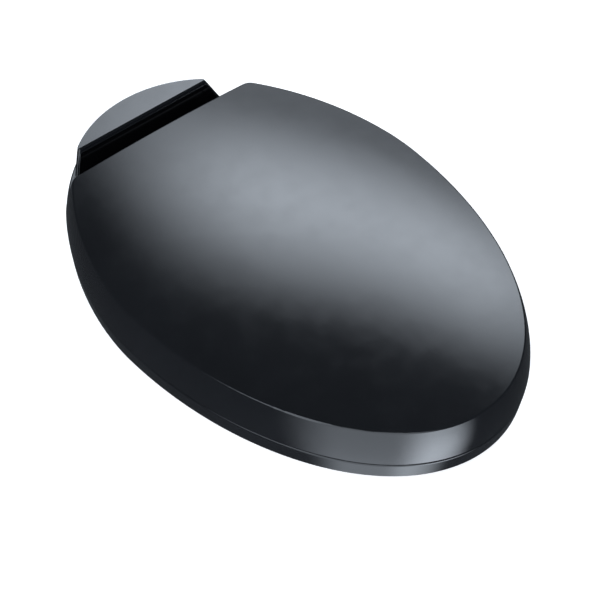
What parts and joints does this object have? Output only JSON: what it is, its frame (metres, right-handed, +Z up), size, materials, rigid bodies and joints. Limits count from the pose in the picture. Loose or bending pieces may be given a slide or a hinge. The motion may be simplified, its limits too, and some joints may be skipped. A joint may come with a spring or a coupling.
{
  "type": "electric bidet seat",
  "caption": "Elongated electric bidet seat with a domed soft-close lid, heated ring, half-moon rear housing and sliding wash wands, on a quick-release mounting plate.",
  "frame": {"origin": "midway between the two fixing bolts, on the bowl's rim", "axes": "+Z up, +Y towards the rear, +X to the right seen from the front"},
  "size_m": [0.3698, 0.5496, 0.109],
  "materials": {
    "gloss_shell": "polished near-black plastic",
    "window": "deep black infra-red window",
    "inner_plastic": "satin dark plastic",
    "part_plastic": "off-white moulded plastic",
    "tank_plastic": "grey moulded plastic",
    "gear": "natural acetal",
    "wand": "smooth light plastic",
    "foil": "thin foil",
    "board": "green lacquered board",
    "coil": "black potting",
    "hose": "grey hose",
    "rubber": "black rubber",
    "steel": "fine brushed",
    "brass": "machined"
  },
  "bodies": {
    "housing": {"housing_cover": "gloss_shell", "base_tray": "gloss_shell", "fascia": "window", "ring_damper": "part_plastic", "lid_damper": "part_plastic", "nozzle_bay": "part_plastic", "wand_rail": "part_plastic", "rear_motor": "steel", "front_motor": "steel", "valve_block": "part_plastic", "solenoid_coil": "coil", "water_inlet": "brass", "inlet_strainer": "part_plastic", "heater_tank": "tank_plastic", "supply_hose": "hose", "diverter": "part_plastic", "warm_water_hose": "hose", "power_supply": "coil", "control_board": "board", "board_parts": "coil", "cord_gland": "rubber", "fan_case": "part_plastic", "deodoriser_duct": "part_plastic", "carbon_filter": "coil", "button_switches": "part_plastic", "cover_screws": "steel", "housing_pads": "rubber", "mounting_plate": "inner_plastic", "fixing_bolts": "steel", "fixing_washers": "steel", "expansion_bushes": "rubber", "fixing_nuts": "steel"},
    "ring": {"ring_top_shell": "gloss_shell", "ring_bottom_shell": "inner_plastic", "heating_foil": "foil", "thermostat": "part_plastic", "occupancy_sensor": "board", "ring_pads": "rubber", "ring_bush_left": "part_plastic", "ring_bush_right": "part_plastic", "ring_damper_shaft": "steel"},
    "lid": {"lid_shell": "gloss_shell", "lid_liner": "inner_plastic", "lid_lug_left": "inner_plastic", "lid_lug_right": "inner_plastic", "lid_damper_shaft": "steel", "lid_pads": "rubber"},
    "rear_wand": {"rear_wand": "wand", "rear_wand_tip": "wand", "rear_wand_rack": "gear"},
    "front_wand": {"front_wand": "wand", "front_wand_tip": "wand", "front_wand_rack": "gear"},
    "rear_pinion": {"rear_pinion": "gear"},
    "front_pinion": {"front_pinion": "gear"},
    "fan": {"fan_wheel": "part_plastic"},
    "power_button": {"power_button": "inner_plastic"},
    "wash_button": {"wash_button": "inner_plastic"},
    "release": {"release_button": "inner_plastic", "latch_bar": "gear"}
  },
  "joints": [
    {"name": "ring_hinge", "type": "hinge", "parent": "housing", "child": "ring", "pos_m": [0, 0.004, 0.048], "axis": [-1, 0, 0], "range_deg": [0, 98]},
    {"name": "lid_hinge", "type": "hinge", "parent": "ring", "child": "lid", "pos_m": [0, 0.004, 0.048], "axis": [1, 0, 0], "range_deg": [-103, 0]},
    {"name": "rear_wand_slide", "type": "slide", "parent": "housing", "child": "rear_wand", "axis": [0, -0.9877, -0.1564], "range_m": [0, 0.066]},
    {"name": "front_wand_slide", "type": "slide", "parent": "housing", "child": "front_wand", "axis": [0, -0.9877, -0.1564], "range_m": [0, 0.066]},
    {"name": "rear_pinion_turn", "type": "hinge", "parent": "housing", "child": "rear_pinion", "pos_m": [-0.0246, -0.03422, 0.01745], "axis": [0, 0.1564, -0.9877], "range_deg": [0, 631]},
    {"name": "front_pinion_turn", "type": "hinge", "parent": "housing", "child": "front_pinion", "pos_m": [0.0246, -0.03422, 0.01745], "axis": [0, -0.1564, 0.9877], "range_deg": [0, 631]},
    {"name": "fan_spin", "type": "hinge", "parent": "housing", "child": "fan", "pos_m": [-0.052, 0.024, 0.015], "axis": [0, 0, 1], "continuous": true},
    {"name": "power_button_press", "type": "slide", "parent": "housing", "child": "power_button", "axis": [-0.8752, -0.4837, 0], "range_m": [0, 0.0025], "stiffness_N_per_m": 300},
    {"name": "wash_button_press", "type": "slide", "parent": "housing", "child": "wash_button", "axis": [-0.8418, -0.5398, 0], "range_m": [0, 0.0025], "stiffness_N_per_m": 300},
    {"name": "release_press", "type": "slide", "parent": "housing", "child": "release", "axis": [-0.795, -0.6066, 0], "range_m": [0, 0.003], "stiffness_N_per_m": 500}
  ],
  "couplings": [
    {"joint": "rear_pinion_turn", "follows": "rear_wand_slide", "rad_per_m": 166.67},
    {"joint": "front_pinion_turn", "follows": "front_wand_slide", "rad_per_m": 166.67}
  ]
}
